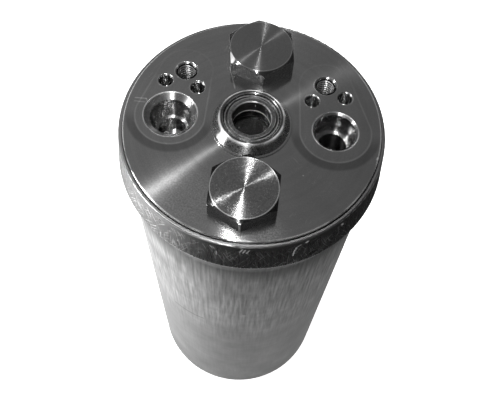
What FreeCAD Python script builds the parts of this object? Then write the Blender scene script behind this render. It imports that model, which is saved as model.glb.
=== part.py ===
"""Filter drier: a drawn can with a machined head rolled into its mouth, in millimetres.

The origin is the middle of the can's foot, +Z is up, the two pipe ports lie along X
and the two hexagon plugs along Y. Depths in the head are measured down from its top face.
"""
import FreeCAD, Part
import math
import os

V = FreeCAD.Vector

# Working clearances
slide_gap = 0.05            # radial gap of pieces that slide or screw together
press_gap = 0.02            # radial gap drawn at pressed pieces
through_cut = 1.0           # how far a cutting tool runs past the face it cuts
seal_corner_share = 0.42    # corner radius of a squeezed seal over its smaller side
corner_share = 0.45         # most of the shorter run that a rounded corner may take

# Can
can_radius = 38.0
can_wall = 2.0
floor_thickness = 3.0
foot_dish_depth = 0.8       # the foot is dished so that it stands on a ring
foot_dish_radius = 30.0
foot_dish_run = 1.6
foot_dish_round = 2.0
foot_ring_round = 0.6
foot_corner = 2.2
floor_corner = 1.8
shoulder_blend = 10.0
head_top = 176.0            # height of the head's top face over the foot

# Rolled mouth of the can, depths from the head's top face
bulge_radius = 40.45
bulge_depth = 12.6
bulge_round = 0.5
shoulder_depth = 20.6       # where the bulge runs out into the plain can
lip_depth = 1.0
lip_radius = 39.1
lip_round = 0.5
lip_chamfer = 0.3
bevel_top_depth = 1.9
bevel_low_depth = 3.2

# Head
disc_radius = 37.8
disc_chamfer = 0.25
head_depth = 29.0
spigot_chamfer = 0.8

# Head seal
head_seal_depth = 25.2      # middle of its groove
head_seal_width = 2.4
head_seal_squeeze = 2.0     # radial height of the seal once it is fitted
head_groove_room = 0.5      # how much wider the groove is than the seal

# Sight boss, a little off the head's axis
boss_x = -0.4
boss_y = -0.2
boss_height = 3.5
boss_foot_radius = 11.9
boss_foot_height = 0.3
boss_base_radius = 11.3
boss_rim_radius = 9.5
boss_rim_round = 0.35
sight_bore_radius = 8.25
sight_bore_chamfer = 0.3

# Sight glass stack, from the retainer down
retainer_drop = 0.5         # how far the retainer lies below the boss rim
retainer_height = 4.0
retainer_hole_radius = 5.6
retainer_edge = 0.3
retainer_groove_radius = 7.3
retainer_groove_size = 0.3
washer_thickness = 0.4
glass_thickness = 3.6
gasket_thickness = 0.6
chamber_radius = 4.6
chamber_depth = 15.5

# Pipe ports
port_pitch_radius = 24.3
port_y = 0.25
port_bore_radius = 6.1
outlet_rim_radius = 7.95
outlet_rim_depth = 1.5
outlet_straight_depth = 6.0
outlet_seat_radius = 5.1
outlet_seat_depth = 8.2
outlet_hole_radius = 4.2
outlet_hole_depth = 14.5
inlet_rim_radius = 6.8
inlet_rim_depth = 0.6
inlet_straight_depth = 5.6
inlet_seat_radius = 5.5
inlet_seat_depth = 8.0
inlet_hole_radius = 4.4
drill_point_angle = 59.0    # half angle of a drilled hole's end

# Cross drilling from the outlet port to the chamber under the sight glass
passage_radius = 2.2
passage_depth = 11.8
passage_plug_length = 4.8
passage_plug_sink = 0.6

# Pads beside the ports: one tapped hole and two pin holes each
outlet_pad_lean = 8.5       # degrees that the pad's axis leans towards the sight boss
inlet_pad_lean = 13.0
stud_reach = 16.4
stud_radius = 3.0
stud_rim_radius = 3.5
stud_depth = 12.0
pin_reach = 11.3
pin_spacing = 10.0
pin_radius = 2.05
pin_rim_radius = 2.4
pin_depth = 5.5

# Hexagon plugs
plug_pitch_radius = 24.3
plug_across_flats = 19.0
plug_head_height = 5.5
plug_flat_height = 4.6
plug_top_radius = 9.4
plug_thread_radius = 7.0
plug_shank_length = 12.0
plug_shank_chamfer = 0.8
plug_hole_depth = 14.0
plug_vent_radius = 2.0
front_plug_turn = -90.5     # direction of one hexagon corner, degrees
rear_plug_turn = -81.0
plug_seal_width = 1.7       # radial width of the seal once it is fitted
plug_seal_height = 1.6

# Pick-up tube and strainer
tube_radius = 5.0
tube_bore_radius = 4.0
tube_end_height = 8.4       # over the can's floor
strainer_floor_gap = 0.3
strainer_radius = 9.5
strainer_wall = 1.0
strainer_round = 1.0
strainer_neck_round = 0.8
strainer_base_height = 9.2
strainer_sleeve_wall = 1.25
strainer_sleeve_height = 8.0
strainer_windows = 6
strainer_window_width = 6.2
strainer_window_margin = 1.2
screen_thickness = 0.45

# Filter stack
sump_height = 20.2
plate_thickness = 1.0
plate_edge_gap = 0.3
plate_bend = 1.6
plate_foot_lip = 4.2
plate_rim_height = 9.0
plate_hole_radius = 2.5
plate_hole_rings = ((13.0, 10), (24.0, 16))
plate_tube_gap = 0.3
lower_felt_height = 8.0
upper_felt_height = 6.0    # the desiccant bed fills the height between the felts
stack_side_gap = 0.1

# Spring between the head and the upper plate
spring_length = 36.0        # as it is pressed in the closed can
spring_wire_radius = 1.3
spring_side_gap = 3.2
spring_turns = 4.0

# Values that follow from the sizes above
can_bore_radius = can_radius - can_wall
mouth_radius = bulge_radius - can_wall
shoulder_angle = math.atan2(bulge_radius - can_radius, shoulder_depth - bulge_depth)
seat_drop = can_wall * math.tan(shoulder_angle / 2)
seat_top_depth = bulge_depth + 2 * seat_drop
seat_low_depth = shoulder_depth + seat_drop
lip_bore_radius = disc_radius + slide_gap
flange_radius = mouth_radius - slide_gap
spigot_radius = can_bore_radius - slide_gap
head_underside = head_top - head_depth
floor_top = foot_dish_depth + floor_thickness
lower_plate_top = floor_top + sump_height
upper_plate_top = head_underside - spring_length
upper_plate_bottom = upper_plate_top - plate_thickness
bed_top = upper_plate_bottom - upper_felt_height
bed_bottom = lower_plate_top + lower_felt_height
plate_radius = can_bore_radius - plate_edge_gap
stack_radius = can_bore_radius - stack_side_gap
tube_hole_radius = tube_radius + plate_tube_gap
retainer_top = head_top + boss_height - retainer_drop
washer_top = retainer_top - retainer_height
glass_top = washer_top - washer_thickness
gasket_top = glass_top - glass_thickness
sight_ledge = gasket_top - gasket_thickness
sight_piece_radius = sight_bore_radius - slide_gap
tube_top = head_top - chamber_depth
plug_seal_outer_radius = plug_thread_radius + plug_seal_width


def rounded_edges(points):
    """Edges of a closed outline in the XZ plane from (x, z, corner radius) points."""
    count = len(points)
    starts, ends, arcs = [], [], []
    for i, (x, z, radius) in enumerate(points):
        here = V(x, 0, z)
        before = V(points[i - 1][0], 0, points[i - 1][1]) - here
        after = V(points[(i + 1) % count][0], 0, points[(i + 1) % count][1]) - here
        if radius <= 0:
            starts.append(here)
            ends.append(here)
            arcs.append(None)
            continue
        turn = math.pi - before.getAngle(after)
        shorter = min(before.Length, after.Length)
        reach = min(radius * math.tan(turn / 2), corner_share * shorter)
        radius = reach / math.tan(turn / 2)
        u, w = before.normalize(), after.normalize()
        first, last = here + u * reach, here + w * reach
        middle = (u + w).normalize()
        centre = here + middle * math.hypot(reach, radius)
        starts.append(first)
        ends.append(last)
        arcs.append(Part.Arc(first, centre - middle * radius, last).toShape())
    edges = []
    for i in range(count):
        if arcs[i] is not None:
            edges.append(arcs[i])
        follow = starts[(i + 1) % count]
        if ends[i].distanceToPoint(follow) > 1e-6:
            edges.append(Part.LineSegment(ends[i], follow).toShape())
    return edges


def turned(points, x=0.0, y=0.0):
    """Solid turned about the vertical line at x, y from an outline of (radius, z[, corner])."""
    full = [p if len(p) == 3 else (p[0], p[1], 0) for p in points]
    face = Part.Face(Part.Wire(rounded_edges(full)))
    solid = face.revolve(V(0, 0, 0), V(0, 0, 1), 360)
    solid.translate(V(x, y, 0))
    return solid


def hole_tool(x, y, steps, top=head_top):
    """Tool for a stepped hole: steps are (radius, depth) corners from the top face down."""
    outline = [(0, top + through_cut), (steps[0][0], top + through_cut)]
    outline += [(radius, head_top - depth) for radius, depth in steps]
    last_radius, last_depth = steps[-1]
    point = last_radius / math.tan(math.radians(drill_point_angle))
    outline.append((0, head_top - last_depth - point))
    return turned(outline, x, y)


def squeezed_ring(inner_radius, outer_radius, low, high, x=0.0, y=0.0):
    """Rubber ring pressed to a rounded rectangular section between its faces."""
    corner = seal_corner_share * min(outer_radius - inner_radius, high - low)
    outline = [(inner_radius, low, corner), (outer_radius, low, corner),
               (outer_radius, high, corner), (inner_radius, high, corner)]
    return turned(outline, x, y)


def flat_ring(inner_radius, outer_radius, low, high, x=0.0, y=0.0):
    """Plain ring or disc of rectangular section; an inner radius of 0 gives a disc."""
    outline = [(inner_radius, low), (outer_radius, low), (outer_radius, high), (inner_radius, high)]
    return turned(outline, x, y)


def canister():
    """Drawn can with a dished foot, a bulged mouth and a lip rolled over the head."""
    outline = [
        (0, foot_dish_depth, 0),
        (foot_dish_radius, foot_dish_depth, foot_dish_round),
        (foot_dish_radius + foot_dish_run, 0, foot_ring_round),
        (can_radius, 0, foot_corner),
        (can_radius, head_top - shoulder_depth, shoulder_blend),
        (bulge_radius, head_top - bulge_depth, bulge_round),
        (lip_radius, head_top - lip_depth, lip_round),
        (lip_bore_radius + lip_chamfer, head_top - lip_depth, 0),
        (lip_bore_radius, head_top - lip_depth - lip_chamfer, 0),
        (lip_bore_radius, head_top - bevel_top_depth, 0),
        (mouth_radius, head_top - bevel_low_depth, 0),
        (mouth_radius, head_top - seat_top_depth, 0),
        (can_bore_radius, head_top - seat_low_depth, 0),
        (can_bore_radius, floor_top, floor_corner),
        (0, floor_top, 0),
    ]
    return turned(outline)


def pad_points(side, lean):
    """Centres of the tapped hole and the two pin holes beside the port on one side."""
    angle = math.radians(lean)
    along = V(-side * math.sin(angle), math.cos(angle), 0)
    across = V(math.cos(angle), side * math.sin(angle), 0)
    port = V(side * port_pitch_radius, port_y, 0)
    pins = [port + along * pin_reach + across * (pin_spacing / 2 * s) for s in (-1, 1)]
    return port + along * stud_reach, pins


def pad_tools(side, lean):
    """Tools for the tapped hole and the pin holes of one pad."""
    stud, pins = pad_points(side, lean)
    tools = [hole_tool(stud.x, stud.y, [
        (stud_rim_radius, 0),
        (stud_radius, stud_rim_radius - stud_radius),
        (stud_radius, stud_depth)])]
    for pin in pins:
        tools.append(hole_tool(pin.x, pin.y, [
            (pin_rim_radius, 0),
            (pin_radius, pin_rim_radius - pin_radius),
            (pin_radius, pin_depth)]))
    return tools


def port_tools():
    """Tools for the blind outlet port and the inlet port that runs right through."""
    outlet = hole_tool(-port_pitch_radius, port_y, [
        (outlet_rim_radius, 0),
        (port_bore_radius, outlet_rim_depth),
        (port_bore_radius, outlet_straight_depth),
        (outlet_seat_radius, outlet_seat_depth),
        (outlet_hole_radius, outlet_seat_depth),
        (outlet_hole_radius, outlet_hole_depth)])
    inlet = hole_tool(port_pitch_radius, port_y, [
        (inlet_rim_radius, 0),
        (port_bore_radius, inlet_rim_depth),
        (port_bore_radius, inlet_straight_depth),
        (inlet_seat_radius, inlet_seat_depth),
        (inlet_hole_radius, inlet_seat_depth),
        (inlet_hole_radius, head_depth + through_cut)])
    return [outlet, inlet]


def sight_tool():
    """Tool for the stepped bore of the sight glass, its chamber and the tube socket."""
    rim = head_top + boss_height
    socket_radius = tube_radius + press_gap
    outline = [
        (0, rim + through_cut),
        (sight_bore_radius + sight_bore_chamfer, rim + through_cut),
        (sight_bore_radius + sight_bore_chamfer, rim),
        (sight_bore_radius, rim - sight_bore_chamfer),
        (sight_bore_radius, sight_ledge),
        (chamber_radius, sight_ledge),
        (chamber_radius, tube_top),
        (socket_radius, tube_top),
        (socket_radius, head_underside - through_cut),
        (0, head_underside - through_cut),
    ]
    return turned(outline, boss_x, boss_y)


def plug_hole_tool(side):
    """Tool for one plug's threaded hole, its seal recess and the vent into the can."""
    y = side * plug_pitch_radius
    hole = hole_tool(0, y, [
        (plug_seal_outer_radius, 0),
        (plug_seal_outer_radius, plug_seal_height),
        (plug_thread_radius, plug_seal_height),
        (plug_thread_radius, plug_hole_depth)])
    vent = Part.makeCylinder(plug_vent_radius, head_depth + through_cut - plug_hole_depth,
                             V(0, y, head_underside - through_cut))
    return hole.fuse(vent)


def passage_tool():
    """Cross drilling from the rim of the head through the outlet port to the chamber."""
    start = V(-flange_radius - through_cut, (port_y + boss_y) / 2, head_top - passage_depth)
    return Part.makeCylinder(passage_radius, flange_radius + through_cut + boss_x, start, V(1, 0, 0))


def head():
    """Machined head: disc, flange held by the can's lip, spigot, sight boss and all holes."""
    groove_half = (head_seal_width + head_groove_room) / 2
    seal_z = head_top - head_seal_depth
    groove_radius = can_bore_radius - head_seal_squeeze
    body = turned([
        (0, head_underside),
        (spigot_radius - spigot_chamfer, head_underside),
        (spigot_radius, head_underside + spigot_chamfer),
        (spigot_radius, seal_z - groove_half),
        (groove_radius, seal_z - groove_half),
        (groove_radius, seal_z + groove_half),
        (spigot_radius, seal_z + groove_half),
        (spigot_radius, head_top - seat_low_depth),
        (flange_radius, head_top - seat_top_depth),
        (flange_radius, head_top - bevel_low_depth),
        (disc_radius, head_top - bevel_top_depth),
        (disc_radius, head_top - disc_chamfer),
        (disc_radius - disc_chamfer, head_top),
        (0, head_top),
    ])
    boss = turned([
        (0, head_top - through_cut),
        (boss_foot_radius, head_top - through_cut),
        (boss_foot_radius, head_top + boss_foot_height),
        (boss_base_radius, head_top + boss_foot_height),
        (boss_rim_radius, head_top + boss_height, boss_rim_round),
        (0, head_top + boss_height),
    ], boss_x, boss_y)
    tools = port_tools() + [sight_tool(), plug_hole_tool(-1), plug_hole_tool(1), passage_tool()]
    tools += pad_tools(-1, outlet_pad_lean) + pad_tools(1, inlet_pad_lean)
    return body.fuse(boss).removeSplitter().cut(tools)


def head_seal():
    """Ring seal between the head's spigot and the can."""
    z = head_top - head_seal_depth
    return squeezed_ring(can_bore_radius - head_seal_squeeze, can_bore_radius,
                         z - head_seal_width / 2, z + head_seal_width / 2)


def hex_plug(side, turn):
    """Hexagon-head screw plug that stands on the head's top face."""
    y = side * plug_pitch_radius
    corner_radius = plug_across_flats / math.sqrt(3)
    corners = [V(corner_radius * math.cos(math.radians(turn + 60 * i)),
                 y + corner_radius * math.sin(math.radians(turn + 60 * i)), head_top)
               for i in range(6)]
    prism = Part.Face(Part.makePolygon(corners + corners[:1])).extrude(V(0, 0, plug_head_height))
    crown = turned([
        (0, head_top),
        (corner_radius, head_top),
        (corner_radius, head_top + plug_flat_height),
        (plug_top_radius, head_top + plug_head_height),
        (0, head_top + plug_head_height),
    ], 0, y)
    shank_radius = plug_thread_radius - slide_gap
    shank_end = head_top - plug_shank_length
    shank = turned([
        (0, shank_end),
        (shank_radius - plug_shank_chamfer, shank_end),
        (shank_radius, shank_end + plug_shank_chamfer),
        (shank_radius, head_top + plug_flat_height / 2),
        (0, head_top + plug_flat_height / 2),
    ], 0, y)
    return prism.common(crown).fuse(shank).removeSplitter()


def plug_seal(side):
    """Ring seal in the recess under one plug's hexagon."""
    return squeezed_ring(plug_thread_radius, plug_seal_outer_radius,
                         head_top - plug_seal_height, head_top, 0, side * plug_pitch_radius)


def sight_glass_retainer():
    """Screwed ring that holds the sight glass down in the boss."""
    groove = retainer_groove_size
    outline = [
        (retainer_hole_radius, washer_top),
        (sight_piece_radius, washer_top),
        (sight_piece_radius, retainer_top - retainer_edge),
        (sight_piece_radius - retainer_edge, retainer_top),
        (retainer_groove_radius + groove, retainer_top),
        (retainer_groove_radius, retainer_top - groove),
        (retainer_groove_radius - groove, retainer_top),
        (retainer_hole_radius + retainer_edge, retainer_top),
        (retainer_hole_radius, retainer_top - retainer_edge),
    ]
    return turned(outline, boss_x, boss_y)


def passage_plug():
    """Pressed pin that closes the outer end of the cross drilling."""
    start = V(-flange_radius + passage_plug_sink, (port_y + boss_y) / 2, head_top - passage_depth)
    return Part.makeCylinder(passage_radius - press_gap, passage_plug_length, start, V(1, 0, 0))


def pick_up_tube():
    """Tube from the chamber under the sight glass down to the sump."""
    return flat_ring(tube_bore_radius, tube_radius, floor_top + tube_end_height, tube_top,
                     boss_x, boss_y)


def strainer_levels():
    """Heights of the strainer's floor, basket top and sleeve top."""
    base = floor_top + strainer_floor_gap
    return base, base + strainer_base_height, base + strainer_base_height + strainer_sleeve_height


def strainer_frame():
    """Basket on the lower end of the pick-up tube, with windows round its side."""
    base, deck, crest = strainer_levels()
    sleeve_bore = tube_radius + slide_gap
    sleeve_radius = sleeve_bore + strainer_sleeve_wall
    inside = strainer_radius - strainer_wall
    basket = turned([
        (0, base),
        (strainer_radius, base, strainer_round),
        (strainer_radius, deck, strainer_round),
        (sleeve_radius, deck, strainer_neck_round),
        (sleeve_radius, crest),
        (sleeve_bore, crest),
        (sleeve_bore, deck - strainer_wall),
        (inside, deck - strainer_wall),
        (inside, base + strainer_wall),
        (0, base + strainer_wall),
    ], boss_x, boss_y)
    sill = base + strainer_wall + strainer_window_margin
    height = strainer_base_height - 2 * (strainer_wall + strainer_window_margin)
    centre = V(boss_x, boss_y, 0)
    tools = []
    for i in range(strainer_windows):
        window = Part.makeBox(2 * strainer_wall, strainer_window_width, height,
                              V(inside - strainer_wall / 2, -strainer_window_width / 2, sill))
        window.rotate(V(0, 0, 0), V(0, 0, 1), 360.0 * i / strainer_windows)
        window.translate(centre)
        tools.append(window)
    return basket.cut(tools)


def strainer_screen():
    """Fine wire sleeve that stands inside the strainer's windows."""
    base, deck, _ = strainer_levels()
    outside = strainer_radius - strainer_wall - slide_gap
    return flat_ring(outside - screen_thickness, outside, base + strainer_wall,
                     deck - strainer_wall, boss_x, boss_y)


def perforated(plate, low):
    """The plate with its rings of round holes cut from a level just under it."""
    tools = []
    for ring_radius, count in plate_hole_rings:
        for i in range(count):
            angle = 2 * math.pi * i / count
            place = V(ring_radius * math.cos(angle), ring_radius * math.sin(angle), low - through_cut)
            tools.append(Part.makeCylinder(plate_hole_radius, plate_thickness + 2 * through_cut, place))
    tools.append(Part.makeCylinder(tube_hole_radius, plate_thickness + 2 * through_cut,
                                   V(boss_x, boss_y, low - through_cut)))
    return plate.cut(tools)


def lower_plate():
    """Perforated plate with a skirt that stands on the can's floor and keeps the sump open."""
    low = lower_plate_top - plate_thickness
    inner_bend = plate_bend - plate_thickness
    plate = turned([
        (0, low, 0),
        (plate_radius - plate_thickness, low, inner_bend),
        (plate_radius - plate_thickness, floor_top + plate_thickness, floor_corner),
        (plate_radius - plate_foot_lip, floor_top + plate_thickness, 0),
        (plate_radius - plate_foot_lip, floor_top, 0),
        (plate_radius, floor_top, floor_corner + plate_thickness),
        (plate_radius, lower_plate_top, plate_bend),
        (0, lower_plate_top, 0),
    ])
    return perforated(plate, low)


def upper_plate():
    """Perforated plate with an upturned rim that locates the spring."""
    inner_bend = plate_bend - plate_thickness
    rim = upper_plate_bottom + plate_rim_height
    plate = turned([
        (0, upper_plate_bottom, 0),
        (plate_radius, upper_plate_bottom, plate_bend),
        (plate_radius, rim, 0),
        (plate_radius - plate_thickness, rim, 0),
        (plate_radius - plate_thickness, upper_plate_top, inner_bend),
        (0, upper_plate_top, 0),
    ])
    return perforated(plate, upper_plate_bottom)


def stack_layer(low, high):
    """Felt or desiccant layer that fills the can round the pick-up tube."""
    layer = flat_ring(0, stack_radius, low, high)
    core = Part.makeCylinder(tube_radius + slide_gap, high - low + 2 * through_cut,
                             V(boss_x, boss_y, low - through_cut))
    return layer.cut(core)


def pressure_spring():
    """Coil spring with ground ends that presses the filter stack down from the head."""
    mean_radius = can_bore_radius - spring_side_gap - spring_wire_radius
    pitch = spring_length / spring_turns
    helix = Part.makeHelix(pitch, spring_length, mean_radius)
    helix.translate(V(0, 0, upper_plate_top))
    pitch_angle = math.atan2(pitch, 2 * math.pi * mean_radius)
    tangent = V(0, math.cos(pitch_angle), math.sin(pitch_angle))
    start = V(mean_radius, 0, upper_plate_top)
    section = Part.Wire(Part.makeCircle(spring_wire_radius, start, tangent))
    coil = Part.Wire(helix.Edges).makePipeShell([section], True, True)
    room = Part.makeCylinder(mean_radius + 2 * spring_wire_radius, spring_length,
                             V(0, 0, upper_plate_top))
    return Part.Solid(coil).common(room)


def write_parts():
    """Write one STEP file for each separate piece."""
    os.makedirs("parts", exist_ok=True)
    pieces = {
        "canister": canister(),
        "head": head(),
        "head_seal": head_seal(),
        "front_hex_plug": hex_plug(-1, front_plug_turn),
        "front_plug_seal": plug_seal(-1),
        "rear_hex_plug": hex_plug(1, rear_plug_turn),
        "rear_plug_seal": plug_seal(1),
        "sight_glass_retainer": sight_glass_retainer(),
        "sight_glass_washer": flat_ring(retainer_hole_radius, sight_piece_radius,
                                        glass_top, washer_top, boss_x, boss_y),
        "sight_glass": flat_ring(0, sight_piece_radius, gasket_top, glass_top, boss_x, boss_y),
        "sight_glass_gasket": flat_ring(retainer_hole_radius, sight_piece_radius,
                                        sight_ledge, gasket_top, boss_x, boss_y),
        "passage_plug": passage_plug(),
        "pick_up_tube": pick_up_tube(),
        "strainer_frame": strainer_frame(),
        "strainer_screen": strainer_screen(),
        "lower_plate": lower_plate(),
        "lower_felt": stack_layer(lower_plate_top, bed_bottom),
        "desiccant_bed": stack_layer(bed_bottom, bed_top),
        "upper_felt": stack_layer(bed_top, upper_plate_bottom),
        "upper_plate": upper_plate(),
        "pressure_spring": pressure_spring(),
    }
    for name, shape in pieces.items():
        shape.exportStep(f"parts/{name}.step")
        print(f"{name:22s} solids {len(shape.Solids)} volume {shape.Volume:10.1f} valid {shape.isValid()}")


write_parts()
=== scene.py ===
"""Looks of the filter drier: its finishes, the threads of its tapped holes, the floor, lamps and camera.

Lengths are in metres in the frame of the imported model: the origin is the middle of the can's
foot, +Z is up, the pipe ports lie along X and the hexagon plugs along Y. Angles are in degrees.
"""
import logging
import math
from dataclasses import dataclass
from enum import Enum
from typing import Union

import bmesh
import bpy
from mathutils import Matrix, Vector


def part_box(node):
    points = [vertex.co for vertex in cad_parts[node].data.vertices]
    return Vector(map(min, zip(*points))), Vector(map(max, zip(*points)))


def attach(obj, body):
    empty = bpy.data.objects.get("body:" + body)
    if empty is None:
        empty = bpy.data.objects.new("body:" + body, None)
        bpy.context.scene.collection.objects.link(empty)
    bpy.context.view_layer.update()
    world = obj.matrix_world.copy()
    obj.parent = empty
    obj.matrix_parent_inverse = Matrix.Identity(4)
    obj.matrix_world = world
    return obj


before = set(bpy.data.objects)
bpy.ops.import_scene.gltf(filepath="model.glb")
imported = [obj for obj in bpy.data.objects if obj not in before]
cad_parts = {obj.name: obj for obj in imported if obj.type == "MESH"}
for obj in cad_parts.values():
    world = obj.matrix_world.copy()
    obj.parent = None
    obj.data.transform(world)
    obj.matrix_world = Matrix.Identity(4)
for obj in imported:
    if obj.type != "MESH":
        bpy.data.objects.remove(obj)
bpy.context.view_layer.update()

LOG = logging.getLogger("filter_drier")
MM = 0.001
ORIGIN = (0.0, 0.0, 0.0)
Z_AXIS = (0.0, 0.0, 1.0)
FLAT = (1.0, 1.0, 0.0)
SLOPED = (0.3, 0.6)
LEVEL = (0.96, 0.99)
MIDDLE = 0.5
Socket = bpy.types.NodeSocket
Value = Union[Socket, float, tuple]


class Slot(Enum):
    """Material slots of the record."""

    CAN = "can_aluminium"
    HEAD = "machined_aluminium"
    PLUG = "plug_steel"
    SEAL = "seal_rubber"
    WASHER = "washer_plastic"
    GLASS = "sight_glass"
    DARK_RING = "dark_steel"
    PLATE = "plate_steel"
    SPRING = "spring_steel"
    TUBE = "tube_aluminium"
    FELT = "felt"
    DESICCANT = "desiccant"
    STRAINER = "strainer_plastic"
    SCREEN = "screen_wire"


class Effect(Enum):
    """Shader effects that several finishes share, each one a node group."""

    TURNING = "turning marks"
    GRAIN = "grain"
    SCRATCHES = "scratches"
    RING = "ring line"
    IMPRINT = "block imprint"


class Kind(Enum):
    """Socket types of the groups."""

    NUMBER = "NodeSocketFloat"
    VECTOR = "NodeSocketVector"


class Graph:
    """Adds nodes to one node tree; a value is a number, a vector or another node's output."""

    def __init__(self, tree: bpy.types.NodeTree) -> None:
        """Works on one tree."""
        self.tree = tree

    def feed(self, socket: Socket, value: Value) -> None:
        """Links the socket to an output, or sets its value.

        Args:
            socket: The input.
            value: What it gets.
        """
        if isinstance(value, Socket):
            self.tree.links.new(value, socket)
        else:
            socket.default_value = value

    def node(self, kind: str, inputs: dict | None = None, **settings: object) -> bpy.types.Node:
        """Adds a node.

        Args:
            kind: Blender's name of the node type.
            inputs: What its inputs get, by name or number.
            settings: Properties of the node.

        Returns:
            The new node.
        """
        made = self.tree.nodes.new(kind)
        for name, value in settings.items():
            setattr(made, name, value)
        for name, value in (inputs or {}).items():
            self.feed(made.inputs[name], value)
        return made

    def calc(self, operation: str, *values: Value, clamp: bool = False) -> Socket:
        """Returns the result of a Math node."""
        made = self.node("ShaderNodeMath", dict(enumerate(values)), operation=operation, use_clamp=clamp)
        return made.outputs[0]

    def times(self, first: Value, second: Value) -> Socket:
        """Returns the product of two numbers."""
        return self.calc("MULTIPLY", first, second)

    def highest(self, first: Value, second: Value) -> Socket:
        """Returns the larger number."""
        return self.calc("MAXIMUM", first, second)

    def vector(self, operation: str, *values: Value) -> Socket:
        """Returns the vector of a Vector Math node, or the number of a length, distance or dot product."""
        made = self.node("ShaderNodeVectorMath", dict(enumerate(values)), operation=operation)
        return made.outputs["Value" if operation in {"LENGTH", "DISTANCE", "DOT_PRODUCT"} else "Vector"]

    def scaled(self, vector: Value, factor: Value) -> Socket:
        """Returns the vector times a number."""
        made = self.node("ShaderNodeVectorMath", {0: vector, "Scale": factor}, operation="SCALE")
        return made.outputs["Vector"]

    def parts(self, vector: Value) -> tuple[Socket, ...]:
        """Returns the vector's three numbers."""
        return tuple(self.node("ShaderNodeSeparateXYZ", {"Vector": vector}).outputs)

    def joined(self, x: Value, y: Value, z: Value) -> Socket:
        """Returns a vector of three numbers."""
        return self.node("ShaderNodeCombineXYZ", {"X": x, "Y": y, "Z": z}).outputs[0]

    def ramp(self, value: Value, low: Value, high: Value, first: float = 0.0, last: float = 1.0) -> Socket:
        """Smooth step of a value.

        Args:
            value: What is mapped.
            low: The value that gives first.
            high: The value that gives last.
            first: The result at and below low.
            last: The result at and above high.

        Returns:
            The result.
        """
        made = self.node("ShaderNodeMapRange", {
            "Value": value, "From Min": low, "From Max": high, "To Min": first, "To Max": last,
        }, interpolation_type="SMOOTHSTEP")
        return made.outputs["Result"]

    def between(self, share: Value, first: Value, last: Value) -> Socket:
        """Returns first where the share is 0 and last where it is 1."""
        return self.node("ShaderNodeMix", {0: share, 2: first, 3: last}, data_type="FLOAT").outputs[0]

    def noise(self, vector: Value, scale: float, detail: float) -> Socket:
        """Returns flat noise from 0 to 1."""
        inputs = {"Vector": vector, "Scale": scale, "Detail": detail}
        return self.node("ShaderNodeTexNoise", inputs, noise_dimensions="2D").outputs[0]

    def varied(self, tone: Value, value: Value, share: float) -> Socket:
        """Returns the tone made lighter and darker by a value from 0 to 1, by the share from end to end."""
        return self.times(tone, self.calc("MULTIPLY_ADD", value, share, 1 - share / 2))

    def lifted(self, tone: Value, mask: Value, lift: Value) -> Socket:
        """Returns the tone made lighter by the lift where the mask is 1."""
        return self.times(tone, self.calc("MULTIPLY_ADD", mask, lift, 1.0))


class Group(Graph):
    """Node group of one shared effect."""

    def __init__(self, effect: Effect, vectors: tuple[str, ...], numbers: dict[str, float],
                 results: dict[str, Kind]) -> None:
        """Starts the group.

        Args:
            effect: The effect, whose value names the group.
            vectors: Names of its vector inputs.
            numbers: Its number inputs and their defaults.
            results: Its outputs and their types.
        """
        super().__init__(bpy.data.node_groups.new(effect.value, "ShaderNodeTree"))
        for name in vectors:
            self.socket(name, "INPUT", Kind.VECTOR)
        for name, default in numbers.items():
            self.socket(name, "INPUT", Kind.NUMBER).default_value = default
        for name, kind in results.items():
            self.socket(name, "OUTPUT", kind)
        self.given = {s.name: s for s in self.node("NodeGroupInput").outputs if s.name}
        self.out = self.node("NodeGroupOutput")

    def socket(self, name: str, way: str, kind: Kind) -> bpy.types.NodeTreeInterfaceSocket:
        """Returns a new socket of the group."""
        return self.tree.interface.new_socket(name=name, in_out=way, socket_type=kind.value)

    def give(self, **results: Value) -> bpy.types.NodeTree:
        """Feeds the group's outputs.

        Args:
            results: What each output gets, by name.

        Returns:
            The finished tree.
        """
        for name, value in results.items():
            self.feed(self.out.inputs[name], value)
        return self.tree


@dataclass(frozen=True)
class CutOff:
    """Level of a noise above which it shows, lower where an amount is larger, and its soft edge."""

    level: float
    fall: float
    soft: float

    def mask(self, graph: Graph, noise: Socket, amount: Socket) -> Socket:
        """Returns 1 where the noise shows and 0 elsewhere."""
        edge = graph.calc("MULTIPLY_ADD", amount, -self.fall, self.level)
        return graph.ramp(noise, edge, graph.calc("ADD", edge, self.soft))


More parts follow.
